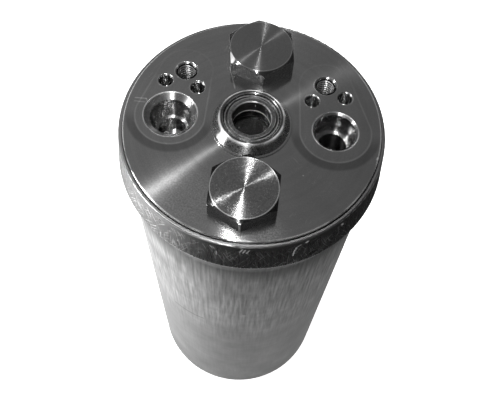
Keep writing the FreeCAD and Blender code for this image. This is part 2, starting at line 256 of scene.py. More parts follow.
@dataclass(frozen=True)
class Effects:
    """The shared shader effects, each built once as a node group with the effect's name."""

    wide_scale: float = 0.1
    wide_share: float = 0.6
    sway_scale: float = 0.35
    patch_scale: float = 0.7
    line_cut: CutOff = CutOff(0.74, 0.1, 0.07)
    patch_cut: CutOff = CutOff(0.72, 0.4, 0.1)

    def build(self) -> None:
        """Builds every group."""
        for make in (self.turning_marks, self.grain, self.scratches, self.ring_line, self.block_imprint):
            LOG.info("%s group built", make().name)

    def turning_marks(self) -> bpy.types.NodeTree:
        """Fine rings about the axis, as a lathe leaves them, that bend the normal across themselves.

        Returns:
            The group.
        """
        group = Group(Effect.TURNING, ("Place", "Normal"), {"Pitch": 0.3 * MM, "Depth": 0.1},
                      {"Mark": Kind.NUMBER, "Normal": Kind.VECTOR})
        place, normal, pitch = (group.given[name] for name in ("Place", "Normal", "Pitch"))
        around = group.vector("CROSS_PRODUCT", Z_AXIS, place)
        ring = group.joined(group.vector("LENGTH", around), group.parts(place)[2], 0.0)
        lines = group.vector("DIVIDE", ring, group.joined(pitch, pitch, 1.0))
        fine = group.noise(lines, 1.0, 1.0)
        wide = group.noise(lines, self.wide_scale, 2.0)
        across = group.vector("CROSS_PRODUCT", group.vector("NORMALIZE", around), normal)
        bend = group.times(group.calc("SUBTRACT", fine, MIDDLE), group.given["Depth"])
        bent = group.vector("NORMALIZE", group.vector("ADD", normal, group.scaled(across, bend)))
        return group.give(Mark=group.between(self.wide_share, fine, wide), Normal=bent)

    def grain(self) -> bpy.types.NodeTree:
        """Even grain, stretched by its own size in each direction.

        Returns:
            The group.
        """
        group = Group(Effect.GRAIN, ("Place", "Size"), {"Detail": 3.0, "Contrast": 1.0},
                      {"Grain": Kind.NUMBER})
        place = group.vector("DIVIDE", group.given["Place"], group.given["Size"])
        noise = group.node("ShaderNodeTexNoise",
                           {"Vector": place, "Scale": 1.0, "Detail": group.given["Detail"]}).outputs[0]
        spread = group.calc("SUBTRACT", noise, MIDDLE)
        return group.give(Grain=group.calc("MULTIPLY_ADD", spread, group.given["Contrast"], MIDDLE,
                                           clamp=True))

    def scratches(self) -> bpy.types.NodeTree:
        """Sparse thin scratches that run along the place's second direction once it is turned.

        Returns:
            The group.
        """
        group = Group(Effect.SCRATCHES, ("Place",),
                      {"Turn": 0.0, "Width": 0.1 * MM, "Length": 4 * MM, "Amount": 0.3},
                      {"Scratch": Kind.NUMBER})
        width, length, amount = (group.given[name] for name in ("Width", "Length", "Amount"))
        turned = group.node("ShaderNodeVectorRotate",
                            {"Vector": group.given["Place"], "Angle": group.given["Turn"]},
                            rotation_type="Z_AXIS").outputs[0]
        even = group.vector("DIVIDE", turned, group.joined(length, length, 1.0))
        sway = group.times(group.noise(even, self.sway_scale, 1.0), length)
        swayed = group.vector("ADD", turned, group.joined(sway, 0.0, 0.0))
        lines = group.noise(group.vector("DIVIDE", swayed, group.joined(width, length, 1.0)), 1.0, 1.0)
        thin = self.line_cut.mask(group, lines, amount)
        where = self.patch_cut.mask(group, group.noise(even, self.patch_scale, 2.0), amount)
        return group.give(Scratch=group.times(thin, where))

    def ring_line(self) -> bpy.types.NodeTree:
        """Soft line where a distance has one value.

        Returns:
            The group.
        """
        group = Group(Effect.RING, (), {"Distance": 0.0, "Radius": 1 * MM, "Width": 0.2 * MM},
                      {"Line": Kind.NUMBER})
        off = group.calc("ABSOLUTE", group.calc("SUBTRACT", group.given["Distance"], group.given["Radius"]))
        return group.give(Line=group.ramp(off, 0.0, group.given["Width"], 1.0, 0.0))

    def block_imprint(self) -> bpy.types.NodeTree:
        """Distance outside the tapered outline that a pipe block presses round a port and its stud.

        Returns:
            The group.
        """
        group = Group(Effect.IMPRINT, ("Place", "Port", "Stud"),
                      {"Port Reach": 10 * MM, "Stud Reach": 8 * MM}, {"Gap": Kind.NUMBER})
        port = group.given["Port"]
        run = group.vector("SUBTRACT", group.given["Stud"], port)
        here = group.vector("SUBTRACT", group.vector("MULTIPLY", group.given["Place"], FLAT), port)
        share = group.calc("DIVIDE", group.vector("DOT_PRODUCT", here, run),
                           group.vector("DOT_PRODUCT", run, run), clamp=True)
        off = group.vector("LENGTH", group.vector("SUBTRACT", here, group.scaled(run, share)))
        reach = group.between(share, group.given["Port Reach"], group.given["Stud Reach"])
        return group.give(Gap=group.calc("SUBTRACT", off, reach))


@dataclass(frozen=True)
class Grain:
    """Size of a grain, the same or its own in each direction, its finer layers and its contrast."""

    size: float | tuple[float, float, float]
    detail: float = 3.0
    contrast: float = 1.5


class Surface(Graph):
    """Graph of one material, with its Principled shader, its coordinates and the shared effects."""

    def __init__(self, name: str) -> None:
        """Starts the material.

        Args:
            name: The material's name.
        """
        self.material = bpy.data.materials.new(f"{name} finish")
        self.material.use_nodes = True
        super().__init__(self.material.node_tree)
        self.shader = self.tree.nodes["Principled BSDF"]
        self.place = self.node("ShaderNodeTexCoord").outputs["Object"]

    def coated(self, **inputs: Value) -> bpy.types.Material:
        """Feeds the shader.

        Args:
            inputs: What its inputs get, by name with _ for each space.

        Returns:
            The finished material.
        """
        for name, value in inputs.items():
            self.feed(self.shader.inputs[name.replace("_", " ")], value)
        return self.material

    def effect(self, effect: Effect, **inputs: Value) -> bpy.types.Node:
        """Returns a node of a shared effect."""
        return self.node("ShaderNodeGroup", inputs, node_tree=bpy.data.node_groups[effect.value])

    def line(self, distance: Value, radius: float, width: float) -> Socket:
        """Returns the soft line where the distance is the radius."""
        return self.effect(Effect.RING, Distance=distance, Radius=radius, Width=width).outputs[0]

    def grain(self, grain: Grain, place: Socket | None = None) -> Socket:
        """Returns the grain from 0 to 1, on the Object coordinates where no place is given."""
        size = grain.size if isinstance(grain.size, tuple) else (grain.size,) * 3
        return self.effect(Effect.GRAIN, Place=self.place if place is None else place, Size=size,
                           Detail=grain.detail, Contrast=grain.contrast).outputs[0]

    def gap(self, place: Socket, start: tuple, end: tuple, reach: float, end_reach: float) -> Socket:
        """Returns the distance outside the outline that lies within a reach of each end of a run."""
        reaches = {"Port Reach": reach, "Stud Reach": end_reach}
        return self.effect(Effect.IMPRINT, Place=place, Port=start, Stud=end, **reaches).outputs[0]

    def relief(self, height: Value, strength: float, distance: float) -> Socket:
        """Returns the normal of a slight relief."""
        inputs = {"Height": height, "Strength": strength, "Distance": distance}
        return self.node("ShaderNodeBump", inputs).outputs[0]

    def above(self, point: tuple) -> Socket:
        """Returns the distance from a point, seen from above."""
        return self.vector("DISTANCE", self.vector("MULTIPLY", self.place, FLAT), point)

    def upward(self) -> Socket:
        """Returns the height of the face's own normal."""
        return self.parts(self.node("ShaderNodeNewGeometry").outputs["True Normal"])[2]

    def rounded(self, radius: float) -> Socket:
        """Returns the normal with every sharp edge rounded by the radius."""
        return self.node("ShaderNodeBevel", {"Radius": radius}, samples=4).outputs[0]

    def across_rings(self, local: Socket, normal: Socket) -> Socket:
        """Returns the direction in the surface that crosses the rings of a turned piece."""
        around = self.vector("CROSS_PRODUCT", Z_AXIS, local)
        return self.vector("NORMALIZE", self.vector("CROSS_PRODUCT", around, normal))

    def wall(self, radius: float) -> Socket:
        """Coordinates along the wall of an upright cylinder.

        Args:
            radius: The cylinder's radius.

        Returns:
            A vector of the length round the wall, the height and 0.
        """
        x, y, z = self.parts(self.place)
        turn = self.calc("ARCTAN2", x, self.times(y, -1.0))
        return self.joined(self.times(turn, radius), z, 0.0)


@dataclass(frozen=True)
class ScratchSet:
    """Scratches in one direction: their turn in radians, width, length and amount."""

    turn: float
    width: float
    length: float
    amount: float

    def mask(self, surface: Surface, place: Socket) -> Socket:
        """Returns 1 on a scratch and 0 elsewhere."""
        return surface.effect(Effect.SCRATCHES, Place=place, Turn=self.turn, Width=self.width,
                              Length=self.length, Amount=self.amount).outputs[0]


@dataclass(frozen=True)
class Mark:
    """Short straight scratch between two places, lighter or darker than the surface round it."""

    start: tuple[float, float, float]
    end: tuple[float, float, float]
    width: float
    lift: float
    core: float = 0.3

    def mask(self, surface: Surface, place: Socket) -> Socket:
        """Returns 1 on the scratch and 0 elsewhere."""
        gap = surface.gap(place, self.start, self.end, 0.0, 0.0)
        return surface.ramp(gap, self.core * self.width, self.width, 1.0, 0.0)


def marks_of(*rows: tuple[float, ...]) -> tuple[Mark, ...]:
    """Returns scratches from rows of start x, y, end x, y and width in millimetres and the tone's lift."""
    return tuple(Mark((a * MM, b * MM, 0.0), (c * MM, d * MM, 0.0), width * MM, lift)
                 for a, b, c, d, width, lift in rows)


@dataclass(frozen=True)
class Hole:
    """One round hole in the head's top face."""

    x: float
    y: float
    rim: float

    @property
    def centre(self) -> tuple[float, float, float]:
        """Returns the hole's middle, with no height."""
        return (self.x, self.y, 0.0)


@dataclass(frozen=True)
class Pad:
    """The place beside one port where a pipe block is bolted: a tapped hole and two pin holes."""

    side: int
    lean: float
    port_rim: float
    port_reach: float
    line_far: float
    port_pitch: float = 24.3 * MM
    port_y: float = 0.25 * MM
    stud_reach: float = 16.4 * MM
    stud_rim: float = 3.5 * MM
    imprint_reach: float = 8 * MM
    pin_reach: float = 11.3 * MM
    pin_spacing: float = 10.0 * MM
    pin_rim: float = 2.4 * MM

    def hole(self, along: float, across: float, rim: float) -> Hole:
        """Hole of the pad.

        Args:
            along: How far from the port towards the tapped hole.
            across: How far sideways.
            rim: The radius of its rim.

        Returns:
            The hole.
        """
        lean = math.radians(self.lean)
        run = Vector((-self.side * math.sin(lean), math.cos(lean)))
        side = Vector((math.cos(lean), self.side * math.sin(lean)))
        port = Vector((self.side * self.port_pitch, self.port_y))
        return Hole(*(port + run * along + side * across), rim)

    @property
    def port(self) -> Hole:
        """Returns the pipe port."""
        return self.hole(0.0, 0.0, self.port_rim)

    @property
    def stud(self) -> Hole:
        """Returns the tapped hole."""
        return self.hole(self.stud_reach, 0.0, self.stud_rim)

    @property
    def holes(self) -> tuple[Hole, ...]:
        """Returns every hole of the pad."""
        pins = (self.hole(self.pin_reach, s * self.pin_spacing / 2, self.pin_rim) for s in (-1, 1))
        return (self.port, self.stud, *pins)


OUTLET_PAD = Pad(side=-1, lean=8.5, port_rim=7.95 * MM, port_reach=10.3 * MM, line_far=0.08)
INLET_PAD = Pad(side=1, lean=13.0, port_rim=6.8 * MM, port_reach=10.5 * MM, line_far=0.1)
PADS = (OUTLET_PAD, INLET_PAD)


@dataclass(frozen=True)
class HighlightPatch:
    """Lighter, speckled patch of the head's face, painted where its turned surface shows a highlight."""

    x: float
    y: float
    radius: float
    lift: float
    core: float = 0.2


@dataclass(frozen=True)
class RimHighlight:
    """Bright line painted along one round edge: a painted edge highlight, patchy like wear."""

    ring: Hole
    share: float
    width: float


@dataclass(frozen=True)
class MachinedHead:
    """Turned aluminium face with bright bores, the pipe blocks' imprints, light handling marks and painted
    light and shade.
    """

    top: float
    tone: float = 0.40
    narrow_shade_tone: float = 0.22
    wall_tone: float = 0.34
    ledge_tone: float = 0.5
    wide_rim: float = 7 * MM
    edge_highlight_tone: float = 0.95
    roughness: float = 0.14
    wall_roughness: float = 0.2
    ledge_roughness: float = 0.26
    edge_roughness: float = 0.45
    edge_metallic: float = 0.4
    groove_pitch: float = 0.15 * MM
    groove_depth: float = 0.06
    bore_groove_depth: float = 0.12
    edge: float = 0.15 * MM
    edge_line: float = 0.32 * MM
    edge_depth: tuple[float, float] = (1.2 * MM, 0.8 * MM)
    hole_line_share: float = 0.65
    flank_tone: float = 0.45
    flank_roughness: float = 0.27
    flank_foot: float = 12.1 * MM
    flank_slope: tuple[float, float] = (0.9, 0.97)
    land_tone: float = 0.14
    land_edge: float = 9.2 * MM
    imprint_line: float = 0.45 * MM
    imprint_share: float = 0.36
    imprint_fade: tuple[float, float] = (6 * MM, 18 * MM)
    shade_band_inner: tuple[float, float] = (0.1 * MM, 0.5 * MM)
    shade_band_outer: tuple[float, float] = (2.2 * MM, 3.2 * MM)
    shade_band_fade: tuple[float, float] = (-5 * MM, 1 * MM)
    shade_band_lift: float = -0.35
    scratch_lift: float = 0.5
    flank_share: float = 0.9
    land_share: float = 1.2
    turning_share: float = 0.25
    stain_share: float = 0.16
    speck_share: float = 0.14
    rough_share: float = 0.2
    flank_rough_share: float = 0.8
    worn_patch: tuple[float, float, float, float] = (0.3, 0.65, 0.2, 0.85)
    stain: Grain = Grain(9 * MM, 4.0, 1.6)
    speck: Grain = Grain(0.5 * MM, 3.0, 2.0)
    coarse: Grain = Grain(0.35 * MM, 3.0, 2.0)
    boss: Hole = Hole(-0.4 * MM, -0.2 * MM, 9.45 * MM)
    boss_bore: Hole = Hole(-0.4 * MM, -0.2 * MM, 8.4 * MM)
    disc: Hole = Hole(0.0, 0.0, 37.6 * MM)
    rims: tuple[RimHighlight, ...] = (
        RimHighlight(boss, 1.0, 0.6 * MM), RimHighlight(boss_bore, 0.4, edge_line), RimHighlight(disc, 0.5, edge_line),
    )
    scratches: tuple[ScratchSet, ...] = (
        ScratchSet(0.3, 0.12 * MM, 5 * MM, 0.35), ScratchSet(1.2, 0.12 * MM, 5 * MM, 0.25),
        ScratchSet(2.3, 0.12 * MM, 5 * MM, 0.3),
    )
    marks: tuple[Mark, ...] = marks_of(
        (-9.0, 19.5, -7.9, 16.0, 0.3, 1.2), (-7.9, 16.0, -6.6, 11.9, 0.3, 1.0),
        (-35.4, 4.6, -32.2, 4.7, 0.28, 0.8), (-32.2, 4.7, -30.9, 2.6, 0.28, 0.8),
        (-35.4, 3.4, -32.3, 3.4, 0.25, 0.6), (15.8, -15.7, 15.9, -15.7, 0.3, 1.0),
        (36.5, -7.8, 36.8, -7.2, 0.4, 1.5), (34.7, -15.7, 35.2, -15.5, 0.4, 1.2),
    )
    highlight_patches: tuple[HighlightPatch, ...] = (HighlightPatch(-16 * MM, -27 * MM, 17 * MM, 0.5), HighlightPatch(6 * MM, -36 * MM, 9 * MM, 1.2))

    def places(self, surface: Surface) -> tuple[Socket, ...]:
        """Finds which hole a point belongs to.

        Args:
            surface: The head's surface.

        Returns:
            The axis that the point was turned about, 1 inside a hole's rim, the hole's share of a wide
            hole, and the painted highlight line on each rim.
        """
        axis, bore, wide, lines = ORIGIN, 0.0, 0.0, 0.0
        rims = list(self.rims)
        for hole in (h for pad in PADS for h in pad.holes):
            inside = surface.calc("LESS_THAN", surface.above(hole.centre), hole.rim)
            share = min(1.0, hole.rim / self.wide_rim)
            axis = surface.vector("ADD", axis, surface.scaled(hole.centre, inside))
            bore = surface.calc("ADD", bore, inside)
            wide = surface.calc("MULTIPLY_ADD", inside, share, wide)
            rims.append(RimHighlight(hole, self.hole_line_share * share, self.edge_line))
        for rim in rims:
            line = surface.line(surface.above(rim.ring.centre), rim.ring.rim, rim.width)
            lines = surface.highest(lines, surface.times(line, rim.share))
        height = surface.parts(surface.place)[2]
        near_top = surface.ramp(height, *(self.top - depth for depth in self.edge_depth))
        return axis, bore, wide, surface.times(lines, near_top)

    def material(self) -> bpy.types.Material:
        """Builds the finish of the head.

        Returns:
            The material.
        """
        surface = Surface(Slot.HEAD.value)
        between, varied = surface.between, surface.varied
        axis, bore, wide, lines = self.places(surface)
        local = surface.vector("SUBTRACT", surface.place, axis)
        normal = surface.rounded(self.edge)
        turning = surface.effect(Effect.TURNING, Place=local, Normal=normal, Pitch=self.groove_pitch,
                                 Depth=between(bore, self.groove_depth, self.bore_groove_depth))
        upward = surface.upward()
        ledge = surface.ramp(upward, *SLOPED)
        flank = self.on_flank(surface, upward)
        stain, speck, coarse = (surface.grain(grain) for grain in (self.stain, self.speck, self.coarse))
        tone = self.scratched(surface, self.imprinted(surface, self.tone_lift(surface, speck)))
        tone = between(flank, tone, varied(self.flank_tone, coarse, self.flank_share))
        land = surface.calc("LESS_THAN", surface.above(self.boss.centre), self.land_edge)
        tone = between(land, tone, varied(self.land_tone, coarse, self.land_share))
        # Painted shade: narrow holes get a darker wall tone than the wide ports.
        bore_tone = between(ledge, between(wide, self.narrow_shade_tone, self.wall_tone), self.ledge_tone)
        tone = between(bore, tone, bore_tone)
        tone = varied(varied(tone, turning.outputs["Mark"], self.turning_share), stain, self.stain_share)
        # Painted highlight: bright lines along the round edges, patchy like wear, lighter, rougher and less
        # metallic.
        highlight_and_wear = surface.times(lines, surface.ramp(stain, *self.worn_patch))
        rough = varied(self.flank_roughness, coarse, self.flank_rough_share)
        rough = varied(between(flank, self.roughness, rough), stain, self.rough_share)
        rough = between(bore, rough, between(ledge, self.wall_roughness, self.ledge_roughness))
        return surface.coated(
            Base_Color=between(highlight_and_wear, tone, self.edge_highlight_tone),
            Roughness=between(highlight_and_wear, rough, self.edge_roughness),
            Metallic=between(highlight_and_wear, 1.0, self.edge_metallic), Anisotropic=1.0,
            Normal=turning.outputs["Normal"], Tangent=surface.across_rings(local, normal))

    def on_flank(self, surface: Surface, upward: Socket) -> Socket:
        """Finds the sight boss's flank.

        Args:
            surface: The head's surface.
            upward: The height of the face's normal.

        Returns:
            1 on the flank, 0 elsewhere.
        """
        away = surface.above(self.boss.centre)
        near = surface.calc("LESS_THAN", away, self.flank_foot)
        outer = surface.calc("GREATER_THAN", away, self.boss_bore.rim)
        return surface.times(surface.ramp(upward, *self.flank_slope, 1.0, 0.0), surface.times(near, outer))

    def tone_lift(self, surface: Surface, speck: Socket) -> Socket:
        """Tone of the face with its lighter, speckled patches of painted highlight.

        Args:
            surface: The head's surface.
            speck: Fine grain.

        Returns:
            The tone.
        """
        tone = self.tone
        # Painted highlight: lighter, speckled patches on the face.
        for highlight_patch in self.highlight_patches:
            away = surface.above((highlight_patch.x, highlight_patch.y, 0.0))
            patch = surface.times(surface.ramp(away, highlight_patch.core * highlight_patch.radius, highlight_patch.radius, 1.0, 0.0), speck)
            tone = surface.lifted(tone, patch, highlight_patch.lift)
        return surface.varied(tone, speck, self.speck_share)

    def imprinted(self, surface: Surface, tone: Value) -> Socket:
        """Adds the outline that each pipe block pressed into the face, and a band of painted shade outside
        it on the front side.

        Args:
            surface: The head's surface.
            tone: The tone so far.

        Returns:
            The new tone.
        """
        y = surface.parts(surface.place)[1]
        front = surface.ramp(y, *self.shade_band_fade, 1.0, 0.0)
        for pad in PADS:
            gap = surface.gap(surface.place, pad.port.centre, pad.stud.centre, pad.port_reach,
                              pad.imprint_reach)
            line = surface.line(gap, 0.0, self.imprint_line)
            share = surface.ramp(y, *self.imprint_fade, self.imprint_share, pad.line_far)
            # Painted shade: a darker band just outside each outline, only towards the front.
            band = surface.times(surface.ramp(gap, *self.shade_band_inner),
                                 surface.ramp(gap, *self.shade_band_outer, 1.0, 0.0))
            tone = surface.lifted(tone, line, share)
            tone = surface.lifted(tone, surface.times(band, front), self.shade_band_lift)
        return tone

    def scratched(self, surface: Surface, tone: Value) -> Socket:
        """Adds handling scratches and the marks that the photograph shows.

        Args:
            surface: The head's surface.
            tone: The tone so far.

        Returns:
            The new tone.
        """
        for scratches in self.scratches:
            tone = surface.lifted(tone, scratches.mask(surface, surface.place), self.scratch_lift)
        for mark in self.marks:
            tone = surface.lifted(tone, mark.mask(surface, surface.place), mark.lift)
        return tone


@dataclass(frozen=True)
class CutThread:
    """Freshly cut thread in a tapped hole, bright on its crest and darkened by painted shade to nearly
    black in its root.
    """

    name: str
    hole: Hole
    crest: float
    root: float
    crest_tone: float = 0.6
    root_shade_tone: float = 0.01
    bright_share: float = 0.2
    root_shade_share: float = 0.55
    roughness: float = 0.32
    speck_share: float = 0.3
    speck: Grain = Grain(0.3 * MM, 2.0, 2.0)

    def material(self) -> bpy.types.Material:
        """Builds the finish of one thread.

        Returns:
            The material.
        """
        surface = Surface(self.name)
        depth = self.root - self.crest
        # Painted shade: the tone falls from the crest to nearly black in the root.
        tone = surface.ramp(surface.above(self.hole.centre), self.crest + depth * self.bright_share,
                            self.crest + depth * self.root_shade_share, self.crest_tone, self.root_shade_tone)
        speck = surface.grain(self.speck)
        return surface.coated(Base_Color=surface.varied(tone, speck, self.speck_share), Metallic=1.0,
                              Roughness=surface.varied(self.roughness, speck, self.speck_share))


@dataclass(frozen=True)
class PlugSteel:
    """Hexagon plug: turned disc, a chamfer and milled flats, with painted highlights on its rim and one
    corner.
    """

    name: str
    x: float
    y: float
    scuffs: float
    roughness: float
    flat_lit_tone: float
    cone_lit_tone: float
    rim_highlight_share: float
    glint_corner: float
    glint_share: float
    corner_reach: float
    tone: float = 0.31
    corner_radius: float = 10.9 * MM
    corner_line: float = 0.45 * MM
    corner_core: float = 0.6
    rim_highlight_tone: float = 0.8
    rim_roughness: float = 0.45
    rim_metallic: float = 0.5
    rim_slope: tuple[float, float] = (0.2, 0.5)
    disc_radius: float = 9.4 * MM
    rim_line: float = 0.28 * MM
    edge: float = 0.2 * MM
    groove_pitch: float = 0.15 * MM
    groove_depth: float = 0.3
    speck: Grain = Grain(0.45 * MM, 3.0, 2.2)
    cloud: Grain = Grain(5 * MM, 2.0, 2.0)
    turning_share: float = 0.3
    scratch_lift: float = 1.6
    cloud_lift: float = 0.8
    scratches: tuple[ScratchSet, ...] = tuple(
        ScratchSet(turn, 0.12 * MM, 1.6 * MM, 0.6) for turn in (0.5, 1.5, 2.6))

    def material(self) -> bpy.types.Material:
        """Builds the finish of one plug.

        Returns:
            The material.
        """
        surface = Surface(self.name)
        between, varied, times = surface.between, surface.varied, surface.times
        local = surface.vector("SUBTRACT", surface.place, (self.x, self.y, 0.0))
        normal = surface.rounded(self.edge)
        turning = surface.effect(Effect.TURNING, Place=local, Normal=normal, Pitch=self.groove_pitch,
                                 Depth=self.groove_depth)
        upward = surface.upward()
        disc = surface.ramp(upward, *LEVEL)
        cone = surface.ramp(upward, *SLOPED)
        speck, cloud = surface.grain(self.speck), surface.grain(self.cloud)
        # Painted light: each plug's flats and chamfer get their own tone for how lit they look, the rear
        # plug's lighter than the front's.
        tone = between(disc, between(cone, self.flat_lit_tone, self.cone_lit_tone), self.tone)
        tone = varied(varied(tone, turning.outputs["Mark"], self.turning_share), speck, self.scuffs)
        for scratches in self.scratches:
            tone = surface.lifted(tone, scratches.mask(surface, local), self.scratch_lift * self.scuffs)
        radius = surface.vector("LENGTH", surface.vector("MULTIPLY", local, FLAT))
        # Painted highlight: a light line round the disc's rim and a painted glint at one corner.
        rim = times(surface.line(radius, self.disc_radius, self.rim_line),
                    surface.ramp(upward, *self.rim_slope))
        highlight_and_wear = times(self.corner(surface, local, cone), surface.calc("SUBTRACT", 1.0, disc))
        rim = surface.highest(times(rim, self.rim_highlight_share), times(highlight_and_wear, self.glint_share))
        rough = varied(self.roughness, speck, self.scuffs)
        rough = surface.lifted(rough, cloud, self.cloud_lift * self.scuffs)
        return surface.coated(
            Base_Color=between(rim, tone, self.rim_highlight_tone), Roughness=between(rim, rough, self.rim_roughness),
            Metallic=between(rim, 1.0, self.rim_metallic), Anisotropic=1.0,
            Normal=turning.outputs["Normal"], Tangent=surface.across_rings(local, normal))

    def corner(self, surface: Surface, local: Socket, cone: Socket) -> Socket:
        """Finds the corner where a glint is painted.

        Args:
            surface: The plug's surface.
            local: The place measured from the plug's axis.
            cone: 1 on the chamfer and the disc.

        Returns:
            1 at the corner, 0 away from it.
        """
        angle = math.radians(self.glint_corner)
        corner = (self.corner_radius * math.cos(angle), self.corner_radius * math.sin(angle), 0.0)
        away = surface.vector("DISTANCE", surface.vector("MULTIPLY", local, FLAT), corner)
        reach = surface.calc("ADD", surface.times(cone, self.corner_reach), self.corner_line)
        return surface.ramp(away, surface.times(reach, self.corner_core), reach, 1.0, 0.0)


@dataclass(frozen=True)
class DrawnCan:
    """Dull drawn aluminium with upright rubbing streaks and a burnished, scratched collar."""

    radius: float
    head_top: float
    tone: float = 0.59
    collar_tone: float = 0.34
    roughness: float = 0.42
    collar_roughness: float = 0.28
    collar_end: tuple[float, float] = (13.6 * MM, 16.6 * MM)
    lip_end: tuple[float, float] = (2.5 * MM, 3.5 * MM)
    shade_span: tuple[float, float] = (18.6 * MM, 36 * MM)
    shade: float = 0.33
    upper_span: tuple[float, float] = (0.35, 0.7)
    low_shade_share: float = 0.7
    low_streak: float = 0.12
    high_streak: float = 0.75
    foot_depth: float = 12.6 * MM
    foot_highlight_line: float = 0.4 * MM
    raw_tone: float = 0.9
    raw_metallic: float = 0.2
    raw_roughness: float = 0.6
    cloud_share: float = 0.45
    band_share: float = 0.12
    unscratched_share: float = 0.85
    scratch_share: float = 1.4
    collar_share: float = 0.5
    rough_share: float = 0.2
    collar_rough_share: float = 0.3
    relief: float = 0.15
    relief_depth: float = 0.05 * MM
    streak: Grain = Grain((0.9 * MM, 15 * MM, 1.0), 4.0, 2.4)
    cloud: Grain = Grain((12 * MM, 16 * MM, 1.0), 5.0, 2.4)
    band: Grain = Grain((90 * MM, 2.6 * MM, 1.0), 2.0, 1.6)
    scratches: tuple[ScratchSet, ...] = (
        ScratchSet(-0.45, 0.5 * MM, 6 * MM, 0.9), ScratchSet(0.7, 0.4 * MM, 6 * MM, 0.9),
        ScratchSet(-0.25, 0.4 * MM, 6 * MM, 0.9),
    )
    marks: tuple[Mark, ...] = marks_of(
        (-5.8, 173.0, -5.5, 164.5, 0.35, 0.6), (18.1, 165.7, 20.3, 167.3, 0.3, 0.7),
        (20.3, 167.3, 22.5, 167.0, 0.3, 0.6), (19.1, 163.8, 21.1, 164.6, 0.3, 0.6),
        (21.1, 164.6, 23.5, 165.0, 0.3, 0.6), (19.8, 165.8, 21.6, 166.2, 0.9, -0.6),
        (-22.8, 172.7, -22.4, 172.5, 1.1, 0.9), (-22.8, 172.7, -22.4, 172.5, 0.5, -0.8),
        (2.1, 133.3, 3.4, 112.0, 0.9, -0.25), (4.6, 133.5, 3.6, 112.0, 0.9, -0.2),
        (-24.8, 93.7, -12.0, 96.7, 0.7, -0.4),
    )
    cuts: tuple[Mark, ...] = marks_of(
        (0.6, 172.4, 1.2, 174.0, 0.22, 0.8), (1.4, 172.2, 2.1, 173.9, 0.22, 0.8),
        (2.4, 172.0, 3.1, 173.8, 0.22, 0.7), (-7.3, 173.0, -6.9, 172.2, 0.22, 0.5),
        (-6.6, 172.8, -6.1, 171.8, 0.22, 0.5), (-5.6, 170.9, -5.5, 169.2, 0.22, 0.5),
        (14.9, 168.0, 15.1, 170.4, 0.3, 0.8), (15.1, 170.4, 15.7, 172.2, 0.3, 0.8),
        (15.7, 172.2, 16.8, 173.0, 0.3, 0.7), (18.5, 173.4, 18.7, 173.6, 0.6, 0.9),
        (29.8, 172.8, 30.1, 172.2, 0.6, 0.8),
    )

    def material(self) -> bpy.types.Material:
        """Builds the finish of the can.

        Returns:
            The material.
        """
        surface = Surface(Slot.CAN.value)
        between, varied, times, ramp = surface.between, surface.varied, surface.times, surface.ramp
        wall = surface.wall(self.radius)
        height = surface.parts(surface.place)[2]
        depth = surface.calc("SUBTRACT", self.head_top, height)
        collar = ramp(depth, *self.collar_end, 1.0, 0.0)
        below_lip = ramp(depth, *self.lip_end)
        streak, cloud, band = (surface.grain(grain, wall) for grain in (self.streak, self.cloud, self.band))
        upper = ramp(height, *(share * self.head_top for share in self.upper_span))
        # Painted shade: the can's lower part is darker than its upper part.
        tone = varied(times(self.tone, between(upper, self.low_shade_share, 1.0)), cloud, self.cloud_share)
        tone = varied(tone, band, self.band_share)
        tone_lift = surface.calc("SUBTRACT", streak, MIDDLE)
        tone = surface.lifted(tone, tone_lift, between(upper, self.low_streak, self.high_streak))
        # Painted shade: a darker band below the collar's shoulder.
        tone = times(tone, ramp(depth, *self.shade_span, self.shade, 1.0))
        marks = 0.0
        for scratches in self.scratches:
            marks = surface.highest(marks, scratches.mask(surface, wall))
        marks = times(times(marks, below_lip), collar)
        shown = surface.calc("MULTIPLY_ADD", marks, self.scratch_share, self.unscratched_share)
        collar_tone = times(self.collar_tone, shown)
        collar_tone = varied(collar_tone, between(below_lip, MIDDLE, cloud), self.collar_share)
        # Painted highlight: a thin light line along the collar's lower edge.
        collar_tone = surface.lifted(collar_tone, surface.line(depth, self.foot_depth, self.foot_highlight_line), 1.0)
        tone = between(collar, tone, collar_tone)
        for mark in self.marks:
            tone = surface.lifted(tone, mark.mask(surface, wall), mark.lift)
        raw = 0.0
        for cut in self.cuts:
            raw = surface.highest(raw, times(cut.mask(surface, wall), cut.lift))
        streak = between(below_lip, MIDDLE, streak)
        rough = between(collar, varied(self.roughness, cloud, self.rough_share),
                        varied(self.collar_roughness, streak, self.collar_rough_share))
        return surface.coated(
            Base_Color=between(raw, tone, self.raw_tone), Metallic=between(raw, 1.0, self.raw_metallic),
            Roughness=between(raw, rough, self.raw_roughness),
            Normal=surface.relief(surface.calc("ADD", streak, marks), self.relief, self.relief_depth))


